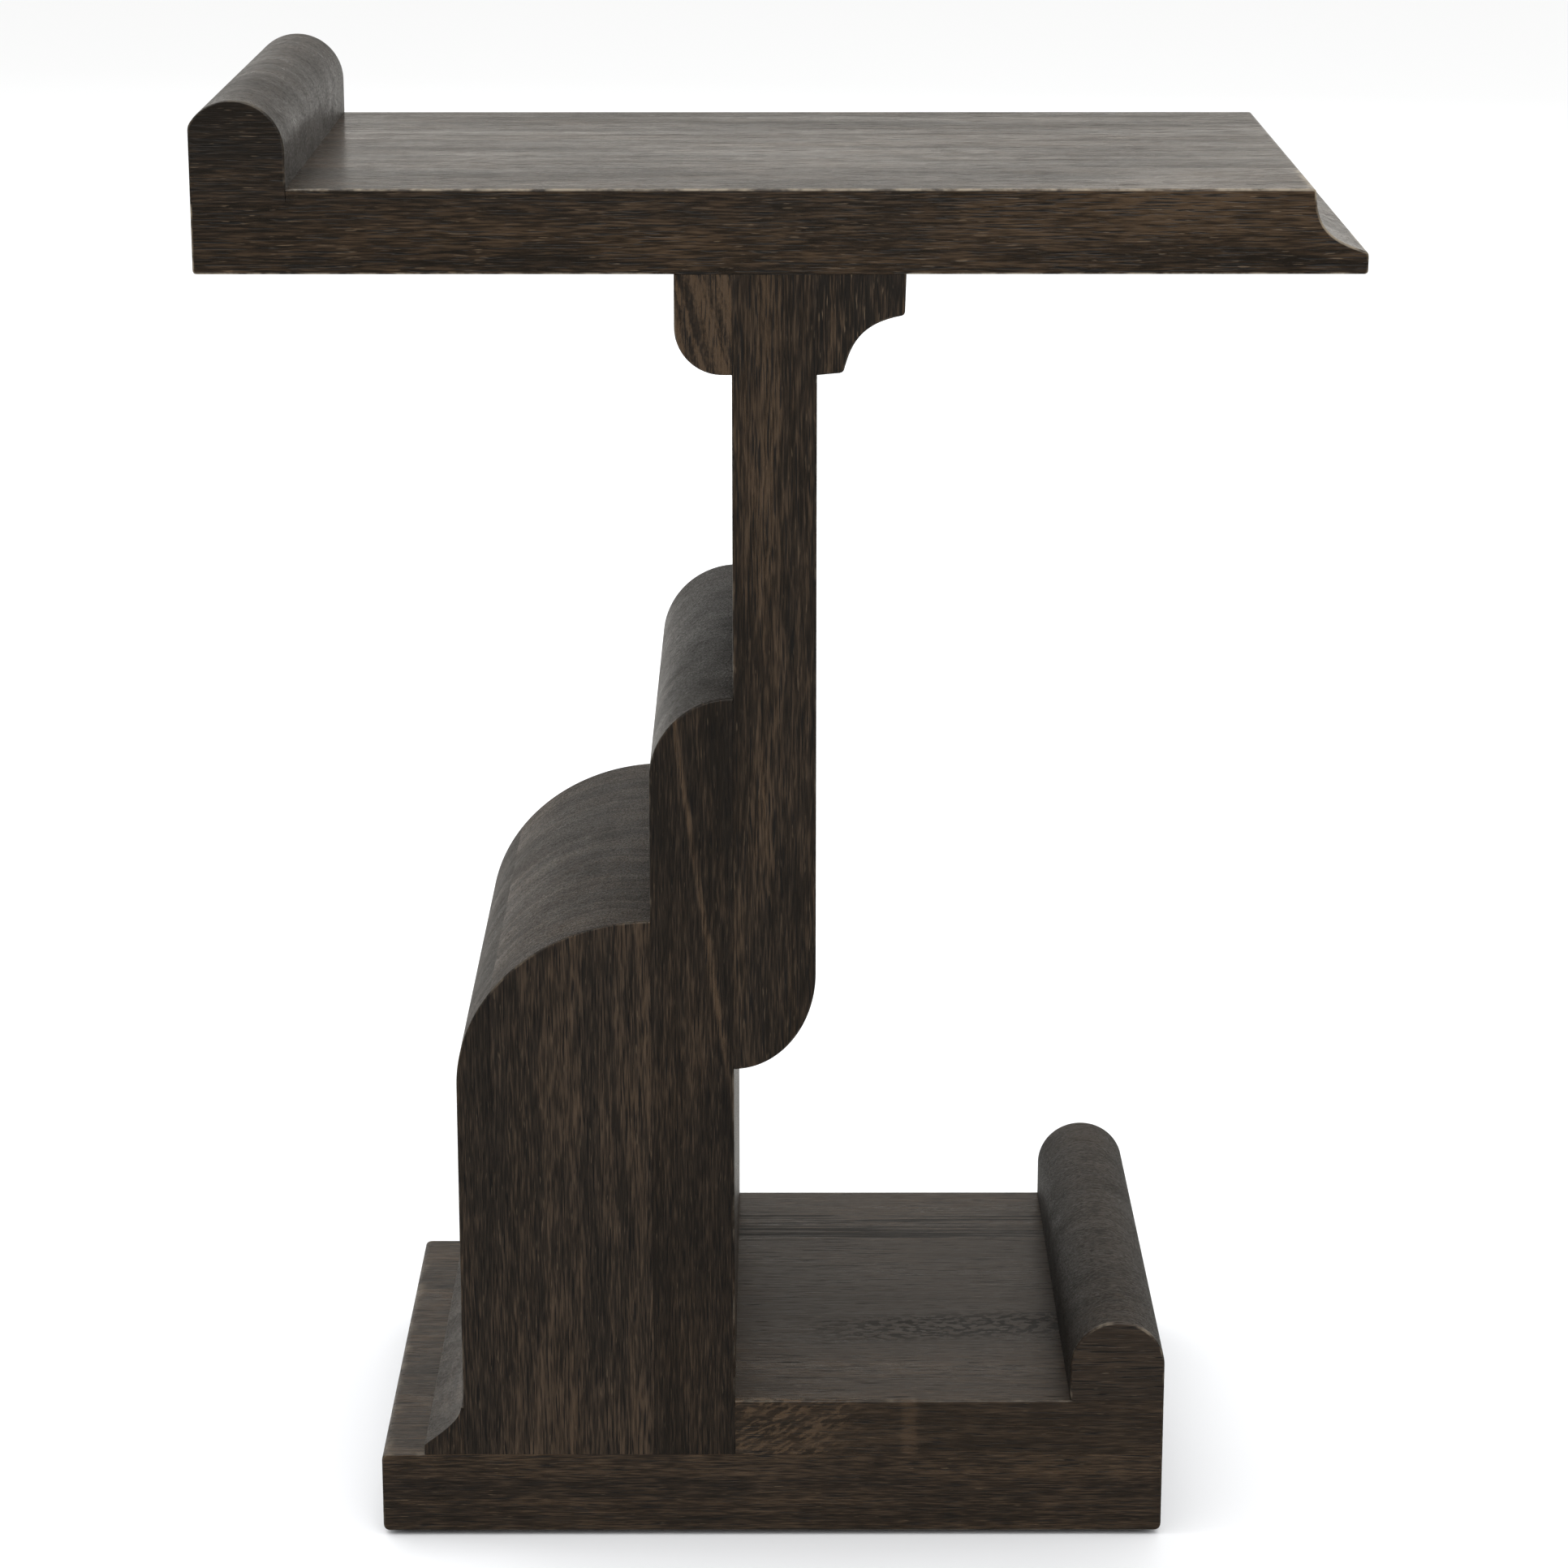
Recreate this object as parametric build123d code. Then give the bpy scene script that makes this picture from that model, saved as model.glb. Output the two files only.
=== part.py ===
from build123d import *
import os

# Dark-stained wooden side table: a long top with a half-round riser at its left end and a cove at its
# right end, carried by one post, which is glued to a stepped column that stands on a long base.
# Every board runs through the whole depth of the table.
# Frame: +X to the right, +Y to the rear, +Z up. The origin is on the floor, under the middle of the top.
# All sizes are in millimetres.

# ---- Driving dimensions -------------------------------------------------------------------------
table_width = 483.0
table_depth = 254.0
stave_count = 4

glide_height = 2.0
plinth_thickness = 37.0
plinth_left = -177.1
plinth_right = 169.4
plinth_corner = 2.5

shelf_thickness = 25.7
base_roll_width = 41.4
base_roll_height = 37.0
base_roll_radius = base_roll_width / 2
base_cove_width = 17.5
base_cove_height = 22.5
base_cove_lip = 4.5
base_cove_flat = 1.0
base_cove_brow_pull = 6.5
base_cove_lip_pull = 5.0
base_cove_lip_rise = 4.0

seam_x = -20.2
post_thickness = 35.3
post_bottom = 219.8
post_round_height = 43.5
column_board_thickness = 35.8
column_board_top = 385.6
column_block_thickness = 69.5
column_facing_thickness = 15.0
column_block_top = 286.9
column_round_height = 75.0

top_thickness = 35.1
top_under = 565.6
top_roll_width = 39.2
top_roll_height = 36.2
top_roll_radius = 20.9
top_roll_rebate = 6.0
top_cove_width = 22.4
top_lip = 9.0
top_cove_brow_pull = 18.0
top_cove_lip_pull = 14.0
top_cove_lip_rise = 4.6
top_corner = 1.5

bracket_height = 42.0
bracket_left_width = 23.8
bracket_left_round = 20.0
bracket_right_width = 36.7
bracket_right_edge = 17.0
bracket_right_foot = 10.9
bracket_right_taper = 0.5
bracket_right_foot_rise = 1.0
bracket_right_edge_pull = (17.8, 3.0)
bracket_right_foot_pull = (3.1, 12.8)

dowel_radius = 5.0
small_dowel_radius = 4.0
glue_gap = 0.1
dowel_end_gap = 1.0
dowel_depth_share = 0.3
roll_dowel_below = 24.0
roll_dowel_above = 14.0
post_dowel_below = 30.0
post_dowel_above = 20.0
bracket_dowel_reach = 12.0
column_dowel_reach = 22.0
dowel_rows_z = {"post": (262.0, 345.0), "column": (95.0, 235.0), "bracket": 544.5}

screw_radius = 3.0
screw_head_radius = 6.0
screw_head_height = 4.0
washer_radius = 7.5
washer_thickness = 1.2
screw_clearance = 0.3
counterbore_radius = 8.5
counterbore_depth = 12.0
screw_point = 6.0
screw_tip_radius = 0.4
column_screw_length = 70.0
shelf_screw_length = 42.0
roll_screw_length = 70.0
shelf_screw_outer_x = 25.0
shelf_screw_inner_x = 100.0

glide_radius = 11.0
glide_inset = 22.0
nail_radius = 1.0
nail_head_radius = 2.5
nail_head_height = 1.0
nail_length = 14.0
bore_overshoot = 1.0

# ---- Derived planes -----------------------------------------------------------------------------
top_left = -table_width / 2
top_right = table_width / 2
top_surface = top_under + top_thickness
plinth_bottom = glide_height
plinth_top = plinth_bottom + plinth_thickness
shelf_surface = plinth_top + shelf_thickness
post_right = seam_x + post_thickness
board_left = seam_x - column_board_thickness
block_left = board_left - column_block_thickness
facing_left = block_left - column_facing_thickness
base_roll_left = plinth_right - base_roll_width
bracket_bottom = top_under - bracket_height
stave_width = table_depth / stave_count
stave_middles = [-table_depth / 2 + stave_width * (n + 0.5) for n in range(stave_count)]
outer_middles = [stave_middles[0], stave_middles[-1]]
inner_middles = stave_middles[1:-1]
dowel_depths = [-table_depth * dowel_depth_share, table_depth * dowel_depth_share]


# ---- Helpers ------------------------------------------------------------------------------------
def prism(outline):
    """A board through the whole depth, from a closed outline drawn in X and Z."""
    return extrude(make_face(Plane.XZ * outline), table_depth / 2, both=True)


def cove(high, low, upright_pull, flat_pull, flat_rise):
    """A hollow moulding curve that leaves `high` straight down and reaches `low` at a gentle slope."""
    side = 1 if low[0] > high[0] else -1
    first = (high[0], high[1] - upright_pull)
    second = (low[0] - side * flat_pull, low[1] + flat_rise)
    return Bezier(high, first, second, low)


def split_staves(panel):
    """Cuts a panel into its edge-glued staves, front to rear."""
    slab = Box(4 * table_width, stave_width, 4 * table_width)
    return [panel & (Pos(0, y, 0) * slab) for y in stave_middles]


def upright_rod(x, y, low, high, radius):
    """A round rod along Z."""
    return Pos(x, y, (low + high) / 2) * Cylinder(radius, high - low)


def level_rod(y, z, left, right, radius):
    """A round rod along X."""
    return Pos((left + right) / 2, y, z) * Rot(0, 90, 0) * Cylinder(radius, right - left)


def drilled(board, holes):
    """The board with its holes cut."""
    for hole in holes:
        board = board - hole
    return board


# ---- Top ----------------------------------------------------------------------------------------
def top_panel():
    """The flat top, with a rebate for the riser at its left end and a cove and thin lip at its right end."""
    lip = (top_right, top_under + top_lip)
    brow = (top_right - top_cove_width, top_surface)
    edge = Polyline(brow, (top_left, top_surface), (top_left, top_under), (top_right, top_under), lip)
    panel = prism(edge + cove(brow, lip, top_cove_brow_pull, top_cove_lip_pull, top_cove_lip_rise))
    rebate = Box(top_roll_width, 2 * table_depth, top_roll_rebate)
    panel -= Pos(top_left + top_roll_width / 2, 0, top_surface - top_roll_rebate / 2) * rebate
    outer_corners = panel.edges().filter_by(Axis.Y).group_by(Axis.Z)[0]
    return fillet(outer_corners, top_corner)


def riser(outer, inner, foot, crest, radius):
    """A riser with a round crown that is tangent to its inner side and trimmed flush at its outer side."""
    side = 1 if inner > outer else -1
    middle = inner - side * radius
    spring = crest - radius
    shoulder = spring + max(radius**2 - (middle - outer) ** 2, 0) ** 0.5
    crown = ThreePointArc((outer, shoulder), (middle, crest), (inner, spring))
    sides = Polyline((inner, spring), (inner, foot), (outer, foot), (outer, shoulder))
    return prism(crown + sides)


def left_bracket():
    """A block under the top with a quarter-round lower corner."""
    left = seam_x - bracket_left_width
    r = bracket_left_round
    middle = (left + r, bracket_bottom + r)
    corner = CenterArc(middle, r, 180, 90)
    sides = Polyline((left + r, bracket_bottom), (seam_x, bracket_bottom), (seam_x, top_under),
                     (left, top_under), (left, bracket_bottom + r))
    return prism(corner + sides)


def right_bracket():
    """A corbel under the top with a hollow curve on its lower right."""
    right = post_right + bracket_right_width
    edge_low = (right - bracket_right_taper, top_under - bracket_right_edge)
    foot = (post_right + bracket_right_foot, bracket_bottom + bracket_right_foot_rise)
    edge_pull, foot_pull = bracket_right_edge_pull, bracket_right_foot_pull
    upper_handle = (edge_low[0] - edge_pull[0], edge_low[1] - edge_pull[1])
    lower_handle = (foot[0] + foot_pull[0], foot[1] + foot_pull[1])
    sides = Polyline(
        foot, (post_right, bracket_bottom), (post_right, top_under), (right, top_under), edge_low)
    return prism(sides + Bezier(edge_low, upper_handle, lower_handle, foot))


# ---- Post and column ----------------------------------------------------------------------------
def post():
    """The upright board under the top, with its lower right corner rounded."""
    centre = (seam_x, post_bottom + post_round_height)
    corner = EllipticalCenterArc(centre, post_thickness, post_round_height, start_angle=270, arc_size=90)
    sides = Polyline(
        (post_right, centre[1]), (post_right, top_under), (seam_x, top_under), (seam_x, post_bottom))
    return prism(corner + sides)


def column_step(left, right, top, round_height):
    """An upright board on the plinth, with its upper left corner rounded right across its width."""
    centre = (right, top - round_height)
    corner = EllipticalCenterArc(centre, right - left, round_height, start_angle=90, arc_size=90)
    sides = Polyline((left, centre[1]), (left, plinth_top), (right, plinth_top), (right, top))
    return prism(corner + sides)


def outer_column():
    """The lower step of the column, as its thin facing and the thick block behind it."""
    whole = column_step(facing_left, board_left, column_block_top, column_round_height)
    slab = Box(column_facing_thickness, 2 * table_depth, 2 * column_block_top)
    facing_space = Pos(facing_left + column_facing_thickness / 2, 0, 0) * slab
    return whole & facing_space, whole - facing_space


# ---- Base ---------------------------------------------------------------------------------------
def plinth_panel():
    """The long board on the floor, with its two lower end corners rounded."""
    size = (plinth_right - plinth_left, table_depth, plinth_thickness)
    centre = ((plinth_left + plinth_right) / 2, 0, (plinth_bottom + plinth_top) / 2)
    panel = Pos(*centre) * Box(*size)
    lower_corners = panel.edges().filter_by(Axis.Y).group_by(Axis.Z)[0]
    return fillet(lower_corners, plinth_corner)


def shelf_panel():
    """The board on the plinth, to the right of the column."""
    size = (plinth_right - seam_x, table_depth, shelf_thickness)
    centre = ((seam_x + plinth_right) / 2, 0, (plinth_top + shelf_surface) / 2)
    return Pos(*centre) * Box(*size)


def base_cove():
    """The cove moulding at the foot of the column's left side."""
    high = (facing_left - base_cove_flat, plinth_top + base_cove_height)
    low = (facing_left - base_cove_width, plinth_top + base_cove_lip)
    sides = Polyline(low, (low[0], plinth_top), (facing_left, plinth_top), (facing_left, high[1]), high)
    return prism(sides + cove(high, low, base_cove_brow_pull, base_cove_lip_pull, base_cove_lip_rise))


# ---- Dowels, screws and glides ------------------------------------------------------------------
def bore(rod_maker, *place, radius):
    """A rod's place, enlarged by the glue gap, for cutting its hole."""
    return rod_maker(*place, radius + glue_gap)


def upright_dowels(x, depths, low, high, radius):
    """Upright dowels and their holes, one for each depth."""
    rods = [upright_rod(x, y, low, high, radius) for y in depths]
    ends = (low - dowel_end_gap, high + dowel_end_gap)
    holes = [bore(upright_rod, x, y, *ends, radius=radius) for y in depths]
    return rods, holes


def level_dowels(heights, left, right, radius):
    """Level dowels and their holes, two for each height."""
    places = [(y, z) for z in heights for y in dowel_depths]
    rods = [level_rod(y, z, left, right, radius) for y, z in places]
    ends = (left - dowel_end_gap, right + dowel_end_gap)
    holes = [bore(level_rod, y, z, *ends, radius=radius) for y, z in places]
    return rods, holes


def screw(x, y, length):
    """A wood screw driven up from its counterbore, with a round head and a pointed end."""
    seat = plinth_bottom + counterbore_depth - washer_thickness
    head = upright_rod(x, y, seat - screw_head_height, seat, screw_head_radius)
    shank = upright_rod(x, y, seat, seat + length - screw_point, screw_radius)
    point = Pos(x, y, seat + length - screw_point / 2) * Cone(screw_radius, screw_tip_radius, screw_point)
    return head + shank + point


def screw_hole(x, y, length):
    """The space of a screw: counterbore, clearance through the plinth and bore above it."""
    seat = plinth_bottom + counterbore_depth
    pocket = upright_rod(x, y, plinth_bottom - bore_overshoot, seat, counterbore_radius)
    through = upright_rod(x, y, seat, plinth_top, screw_radius + screw_clearance)
    above = upright_rod(x, y, plinth_top - bore_overshoot, seat + length, screw_radius + glue_gap)
    return pocket + through + above


def washer(x, y):
    """A flat washer in the top of a counterbore."""
    seat = plinth_bottom + counterbore_depth
    disc = upright_rod(x, y, seat - washer_thickness, seat, washer_radius)
    return disc - upright_rod(x, y, 0, 2 * seat, screw_radius + screw_clearance)


def glide_places():
    """The middles of the four floor glides."""
    across = (plinth_left + glide_inset, plinth_right - glide_inset)
    deep = table_depth / 2 - glide_inset
    return [(x, y) for x in across for y in (-deep, deep)]


def glide(x, y):
    """A felt disc with a pocket for its nail's head."""
    pocket_low, pocket_high = glide_height - nail_head_height, glide_height + bore_overshoot
    pocket = upright_rod(x, y, pocket_low, pocket_high, nail_head_radius + glue_gap)
    return upright_rod(x, y, 0, glide_height, glide_radius) - pocket


def nail(x, y):
    """The nail that holds a glide to the plinth."""
    head = upright_rod(x, y, glide_height - nail_head_height, glide_height, nail_head_radius)
    return head + upright_rod(x, y, glide_height, glide_height + nail_length, nail_radius)


# ---- Assembly -----------------------------------------------------------------------------------
def build():
    """All nodes of the table, by name."""
    roll_middle = top_left + top_roll_width / 2
    base_roll_middle = base_roll_left + base_roll_width / 2
    post_middle = seam_x + post_thickness / 2
    block_middle = (block_left + board_left) / 2
    board_middle = (board_left + seam_x) / 2

    roll_dowels, roll_holes = upright_dowels(
        roll_middle, stave_middles, top_surface - roll_dowel_below, top_surface + roll_dowel_above,
        small_dowel_radius)
    post_dowels, post_holes = upright_dowels(
        post_middle, stave_middles, top_under - post_dowel_below, top_under + post_dowel_above, dowel_radius)
    left_dowels, left_holes = level_dowels(
        [dowel_rows_z["bracket"]], seam_x - bracket_dowel_reach, seam_x + bracket_dowel_reach,
        small_dowel_radius)
    right_dowels, right_holes = level_dowels(
        [dowel_rows_z["bracket"]], post_right - bracket_dowel_reach, post_right + bracket_dowel_reach,
        small_dowel_radius)
    seam_dowels, seam_holes = level_dowels(
        dowel_rows_z["post"], seam_x - column_dowel_reach, seam_x + column_dowel_reach, dowel_radius)
    column_dowels, column_holes = level_dowels(
        dowel_rows_z["column"], board_left - column_dowel_reach, board_left + column_dowel_reach,
        dowel_radius)

    column_places = [(block_middle, y) for y in stave_middles] + [(board_middle, y) for y in outer_middles]
    shelf_places = [(shelf_screw_outer_x, y) for y in outer_middles]
    shelf_places += [(shelf_screw_inner_x, y) for y in inner_middles]
    roll_places = [(base_roll_middle, y) for y in inner_middles]
    column_screw_holes = [screw_hole(x, y, column_screw_length) for x, y in column_places]
    shelf_screw_holes = [screw_hole(x, y, shelf_screw_length) for x, y in shelf_places]
    roll_screw_holes = [screw_hole(x, y, roll_screw_length) for x, y in roll_places]
    base_holes = shelf_screw_holes + roll_screw_holes
    nail_hole_top = glide_height + nail_length + bore_overshoot
    nail_holes = [
        upright_rod(x, y, 0, nail_hole_top, nail_radius + glue_gap) for x, y in glide_places()]

    facing, block = outer_column()
    nodes = {
        "top_roll": drilled(
            riser(top_left, top_left + top_roll_width, top_surface - top_roll_rebate,
                  top_surface + top_roll_height, top_roll_radius),
            roll_holes),
        "bracket_left": drilled(left_bracket(), left_holes),
        "bracket_right": drilled(right_bracket(), right_holes),
        "post": drilled(post(), post_holes + left_holes + right_holes + seam_holes),
        "column_board": drilled(
            column_step(board_left, seam_x, column_board_top, column_board_thickness),
            seam_holes + column_holes + column_screw_holes),
        "column_block": drilled(block, column_holes + column_screw_holes),
        "column_facing": facing,
        "base_cove": base_cove(),
        "base_roll": drilled(
            riser(plinth_right, base_roll_left, shelf_surface,
                  shelf_surface + base_roll_height, base_roll_radius),
            roll_screw_holes),
        "roll_dowels": roll_dowels,
        "post_dowels": post_dowels,
        "bracket_left_dowels": left_dowels,
        "bracket_right_dowels": right_dowels,
        "post_column_dowels": seam_dowels,
        "column_dowels": column_dowels,
        "column_screws": [screw(x, y, column_screw_length) for x, y in column_places],
        "shelf_screws": [screw(x, y, shelf_screw_length) for x, y in shelf_places],
        "base_roll_screws": [screw(x, y, roll_screw_length) for x, y in roll_places],
        "screw_washers": [washer(x, y) for x, y in column_places + shelf_places + roll_places],
        "floor_glides": [glide(x, y) for x, y in glide_places()],
        "glide_nails": [nail(x, y) for x, y in glide_places()],
    }
    panels = {
        "top_stave": (top_panel(), roll_holes + post_holes),
        "shelf_stave": (shelf_panel(), base_holes),
        "plinth_stave": (plinth_panel(), base_holes + column_screw_holes + nail_holes),
    }
    for name, (panel, holes) in panels.items():
        for number, stave in enumerate(split_staves(drilled(panel, holes)), start=1):
            nodes[f"{name}_{number}"] = stave
    return nodes


os.makedirs("parts", exist_ok=True)
for name, shape in build().items():
    shape = Compound(children=shape) if isinstance(shape, list) else shape
    export_step(shape, f"parts/{name}.step")
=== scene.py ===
"""Looks of the dark-stained side table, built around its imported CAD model. Metres, in the CAD frame."""

import math

import bmesh
import bpy
from mathutils import Euler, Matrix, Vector

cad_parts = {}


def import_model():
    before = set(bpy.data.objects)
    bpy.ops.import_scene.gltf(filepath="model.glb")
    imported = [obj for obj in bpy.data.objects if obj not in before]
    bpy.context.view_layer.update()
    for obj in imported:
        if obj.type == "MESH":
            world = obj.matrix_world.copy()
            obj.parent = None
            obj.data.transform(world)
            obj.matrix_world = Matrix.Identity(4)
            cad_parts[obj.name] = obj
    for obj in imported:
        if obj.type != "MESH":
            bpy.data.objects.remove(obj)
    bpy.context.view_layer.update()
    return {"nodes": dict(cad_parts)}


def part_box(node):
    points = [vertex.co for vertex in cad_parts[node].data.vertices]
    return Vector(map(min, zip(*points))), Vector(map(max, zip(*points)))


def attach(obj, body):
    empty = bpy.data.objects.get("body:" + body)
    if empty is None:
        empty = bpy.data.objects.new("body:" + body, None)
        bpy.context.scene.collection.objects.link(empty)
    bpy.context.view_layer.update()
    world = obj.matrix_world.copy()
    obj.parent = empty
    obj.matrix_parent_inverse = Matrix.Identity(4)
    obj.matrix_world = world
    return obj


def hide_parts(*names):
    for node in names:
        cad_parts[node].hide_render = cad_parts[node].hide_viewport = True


MM = 0.001
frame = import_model()

# ---- Camera and floor values --------------------------------------------------------------------
CAMERA_PLACE = (-0.0014, -1.8996, 0.8515)
CAMERA_PITCH = 15.852
CAMERA_YAW = 0.091
CAMERA_LENS = 99.71
SENSOR_WIDTH = 36.0
FLOOR_HALF = 14.0
FLOOR_DROP = 0.2 * MM

# ---- Edge sizes ---------------------------------------------------------------------------------
EASE = 1.0 * MM               # radius of the worn edges that can be touched
SEAM = 0.04 * MM              # how far a glued edge is broken, which shows as a hairline
CORNER = 1.7 * MM             # how far a rounded corner reaches along its two sides
FADE = 2.6 * MM               # how far the wear and painted highlight reach from an edge
EASE_STEPS = 4
CORNER_STEPS = 5
CORNER_TURN = math.radians(25)    # a sharper turn than this is a corner
SHARP_TURN = math.radians(38)     # a sharper turn than this is shaded as a crease
LONG_STRETCH = 8.0 * MM
LONG_FADES = 2.5              # a long stretch is also more than this many fades
PARALLEL = 0.25               # sine of the turn below which two stretches count as one
SAME_POINT = 6                # decimals of a metre to which two points are the same


# ---- Outlines in X and Z ------------------------------------------------------------------------
class Outline:
    """A board's closed outline, anticlockwise from the front. A stretch is free, or glued to a neighbour."""

    def __init__(self, x, z):
        self.points = [Vector((x, z))]
        self.free = []

    def line(self, x, z, free=True):
        """A straight stretch to (x, z)."""
        self.points.append(Vector((x, z)))
        self.free.append(free)
        return self

    def through(self, points, free=True):
        """A curve through closely spaced points."""
        for x, z in points:
            self.line(x, z, free)
        return self

    def close(self, free=True):
        """The last stretch, back to the start."""
        self.free.append(free)
        return self


def arc(cx, cz, rx, rz, start, sweep, count=28):
    """Points of an elliptical arc, without its first one. Angles are in degrees."""
    angles = [math.radians(start + sweep * n / count) for n in range(1, count + 1)]
    return [(cx + rx * math.cos(a), cz + rz * math.sin(a)) for a in angles]


def bezier(a, b, c, d, count=22):
    """Points of a cubic curve, without its first one."""
    made = []
    for n in range(1, count + 1):
        t = n / count
        s = 1 - t
        weights = (s ** 3, 3 * s * s * t, 3 * s * t * t, t ** 3)
        made.append(tuple(sum(w * p[k] for w, p in zip(weights, (a, b, c, d))) for k in (0, 1)))
    return made


def inward(a, b):
    """The unit normal of the stretch from a to b that points into an anticlockwise outline."""
    along = (b - a).normalized()
    return Vector((-along.y, along.x))


def walk(points, start, step, reach):
    """The point at a distance along the outline from one of its points, and the points passed on the way."""
    here, passed = points[start], set()
    while True:
        start = (start + step) % len(points)
        length = (points[start] - here).length
        if length >= reach:
            return here + (points[start] - here) * (reach / length), passed
        reach -= length
        here = points[start]
        passed.add(start)


def rounded(outline, reach):
    """Corners between two free stretches become small arcs. Gives (point, free stretch after it, wear and
    painted highlight).
    """
    points, free = outline.points, outline.free
    count = len(points)
    arcs, dropped = {}, set()
    for i, here in enumerate(points):
        turn = (here - points[i - 1]).angle_signed(points[(i + 1) % count] - here)
        if free[i - 1] and free[i] and abs(turn) > CORNER_TURN:
            start, passed_before = walk(points, i, -1, reach)
            end, passed_after = walk(points, i, 1, reach)
            arcs[i] = (start, end)
            dropped |= passed_before | passed_after
    made = []
    for i, here in enumerate(points):
        if i in arcs:
            start, end = arcs[i]
            for n in range(CORNER_STEPS + 1):
                t = n / CORNER_STEPS
                made.append(((1 - t) ** 2 * start + 2 * t * (1 - t) * here + t * t * end, True, 1.0))
        elif i not in dropped:
            made.append((here, free[i], 0.0))
    return made


def spaced(rows, fade):
    """Long stretches get a point near each end, so that the wear and painted highlight fade out there."""
    made = []
    for i, (here, free, wear_and_highlight) in enumerate(rows):
        after = rows[(i + 1) % len(rows)][0]
        made.append((here, free, wear_and_highlight))
        length = (after - here).length
        if length > max(LONG_STRETCH, LONG_FADES * fade):
            along = (after - here) / length
            made.append((here + along * fade, free, 0.0))
            made.append((after - along * fade, free, 0.0))
    return made


def inset(rows, free_by, glued_by):
    """The outline moved inwards, by one distance along free stretches and another along glued ones."""
    made = []
    for i, (here, free, _) in enumerate(rows):
        before, after = rows[i - 1][0], rows[(i + 1) % len(rows)][0]
        n1, n2 = inward(before, here), inward(here, after)
        d1 = free_by if rows[i - 1][1] else glued_by
        d2 = free_by if free else glued_by
        cross = n1.x * n2.y - n1.y * n2.x
        if abs(cross) < PARALLEL:
            made.append(here + (n1 + n2).normalized() * (d1 + d2) / 2)
        else:
            made.append(here + Vector(((d1 * n2.y - d2 * n1.y) / cross, (d2 * n1.x - d1 * n2.x) / cross)))
    return made


# ---- Boards -------------------------------------------------------------------------------------
def end_rings(rows, y, side, free_end, ease, fade):
    """Rings at one end of a board, from inside its flat face to its side: (points, y, wear and painted
    highlight of each point).
    """
    touched = [max(float(free), wear_and_highlight) for _, free, wear_and_highlight in rows]
    corner = [wear_and_highlight for _, _, wear_and_highlight in rows]
    rings = []
    if free_end:
        for n in range(EASE_STEPS + 1):
            turn = math.pi / 2 * n / EASE_STEPS
            by = 1 - math.sin(turn)
            depth = ease * (1 - math.cos(turn))
            wear_and_highlight = [0.0] * len(rows) if n == 0 else touched
            rings.append((inset(rows, ease * by, SEAM * by), y - side * depth, wear_and_highlight))
        rings.append((inset(rows, 0, 0), y - side * (ease + fade), corner))
    else:
        rings.append((inset(rows, SEAM, 0), y, corner))
        rings.append((inset(rows, 0, 0), y - side * 2 * SEAM, corner))
    return rings


def board(name, outline, front, rear, front_free=True, rear_free=True, ease=EASE, fade=FADE, corner=CORNER):
    """A board swept from front to rear, with eased free edges, hairline glued edges and an attribute for edge
    wear and painted highlight.
    """
    rows = spaced(rounded(outline, corner), fade)
    rings = end_rings(rows, front, -1, front_free, ease, fade)
    rings += reversed(end_rings(rows, rear, 1, rear_free, ease, fade))
    count = len(rows)
    verts, wear_and_highlight_values, faces = [], [], []
    for points, y, wear_and_highlight in rings:
        verts += [(p.x, y, p.y) for p in points]
        wear_and_highlight_values += wear_and_highlight
    for ring in range(len(rings) - 1):
        low, high = ring * count, (ring + 1) * count
        for i in range(count):
            j = (i + 1) % count
            faces.append((low + j, low + i, high + i, high + j))
    faces.append(tuple(range(count)))
    last = (len(rings) - 1) * count
    faces.append(tuple(range(last + count - 1, last - 1, -1)))
    mesh = bpy.data.meshes.new(name)
    mesh.from_pydata(verts, [], faces)
    mesh.attributes.new("wear_and_highlight", "FLOAT", "POINT").data.foreach_set("value", wear_and_highlight_values)
    piece = bpy.data.objects.new(name, mesh)
    bpy.context.scene.collection.objects.link(piece)
    return piece


def spot(vertex):
    """A vertex's place, rounded so that it can be looked up."""
    return tuple(round(c, SAME_POINT) for c in vertex.co)


def cut(piece, cutters):
    """Takes the cutters out of a piece and keeps the edge wear and painted highlight of the points that stay.
    """
    old_wear = piece.data.attributes["wear_and_highlight"].data
    kept = {spot(v): w.value for v, w in zip(piece.data.vertices, old_wear)}
    for cutter in cutters:
        modifier = piece.modifiers.new("cut", "BOOLEAN")
        modifier.object = cutter
        modifier.solver = "EXACT"
    evaluated = piece.evaluated_get(bpy.context.evaluated_depsgraph_get())
    mesh = bpy.data.meshes.new_from_object(evaluated)
    piece.modifiers.clear()
    piece.data = mesh
    for cutter in cutters:
        bpy.data.objects.remove(cutter)
    wear_and_highlight = mesh.attributes.get("wear_and_highlight") or mesh.attributes.new("wear_and_highlight", "FLOAT", "POINT")
    wear_and_highlight.data.foreach_set("value", [kept.get(spot(v), 0.0) for v in mesh.vertices])


def dress(piece, material, node):
    """Gives a finished wooden piece its shading, material and body, and hides the CAD node that it stands
    for.
    """
    mesh = piece.data
    mesh.materials.clear()
    mesh.materials.append(material)
    mesh.polygons.foreach_set("use_smooth", [True] * len(mesh.polygons))
    mesh.set_sharp_from_angle(angle=SHARP_TURN)
    normals = piece.modifiers.new("normals", "WEIGHTED_NORMAL")
    normals.keep_sharp = True
    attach(piece, "root")
    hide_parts(node)


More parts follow.
